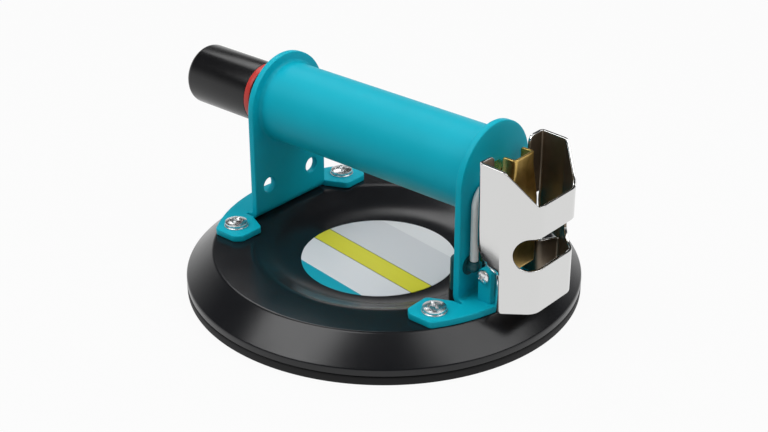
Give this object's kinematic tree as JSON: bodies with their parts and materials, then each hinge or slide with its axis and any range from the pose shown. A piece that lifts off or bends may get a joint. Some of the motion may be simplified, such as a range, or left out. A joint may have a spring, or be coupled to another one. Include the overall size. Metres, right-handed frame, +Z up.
{
  "type": "hand vacuum lifter",
  "caption": "Hand-pumped vacuum lifter: round suction base, tube handle between bent uprights, sliding pump plunger and a sheet-guarded release lever.",
  "frame": {"origin": "on the surface the pad sits on, at the centre of the round pad", "axes": "+X along the handle from the pump plunger to the release lever, +Z up from the pad, +Y across the handle"},
  "size_m": [0.2278, 0.2, 0.1054],
  "materials": {
    "base_moulding": "gloss",
    "pad_rubber": "matt",
    "label_film": "satin",
    "teal_enamel": "gloss",
    "zinc_steel": "bright",
    "spring_steel": "bright",
    "turned_brass": "machined",
    "barrel_alloy": "honed",
    "black_nylon": "satin",
    "plunger_moulding": "gloss",
    "ring_red": "satin",
    "hose_vinyl": "satin",
    "yellow_zinc": "passivated",
    "bright_chrome": "mirror"
  },
  "bodies": {
    "frame": {"base_plate": "base_moulding", "vacuum_pad": "pad_rubber", "head_seal": "pad_rubber", "label_disc": "label_film", "pump_upright": "teal_enamel", "valve_upright": "teal_enamel", "handle_tube": "teal_enamel", "foot_screws": "zinc_steel", "foot_washers": "zinc_steel", "guard_screws": "zinc_steel", "guard_nuts": "zinc_steel", "bracket_rivets": "zinc_steel", "lever_pin": "zinc_steel", "plunger_spring": "spring_steel", "valve_spring": "spring_steel", "foot_inserts": "turned_brass", "valve_body": "turned_brass", "pump_barrel": "barrel_alloy", "front_bush": "black_nylon", "barrel_head": "black_nylon", "feed_elbow": "black_nylon", "base_port": "black_nylon", "air_hose": "hose_vinyl", "lever_bracket": "yellow_zinc", "guard": "bright_chrome"},
    "plunger_unit": {"plunger": "plunger_moulding", "indicator_ring": "ring_red", "piston": "black_nylon", "piston_seal": "pad_rubber"},
    "lever": {"release_lever": "yellow_zinc"},
    "stem": {"valve_stem": "turned_brass", "stem_seal": "pad_rubber"}
  },
  "joints": [
    {"name": "plunger_stroke", "type": "slide", "parent": "frame", "child": "plunger_unit", "axis": [1, 0, 0], "range_m": [0, 0.045], "stiffness_N_per_m": 300, "springref_m": -0.02, "deforming": ["plunger_spring"]},
    {"name": "release_lever_rock", "type": "hinge", "parent": "frame", "child": "lever", "pos_m": [0.079, 0, 0.0425], "axis": [0, -1, 0], "range_deg": [0, 4], "stiffness_Nm_per_rad": 0.5, "springref_deg": -2.86},
    {"name": "valve_stem_slide", "type": "slide", "parent": "frame", "child": "stem", "axis": [-1, 0, 0], "range_m": [0, 0.0026], "deforming": ["valve_spring"]}
  ],
  "couplings": [
    {"joint": "valve_stem_slide", "follows": "release_lever_rock", "m_per_rad": 0.0369}
  ]
}
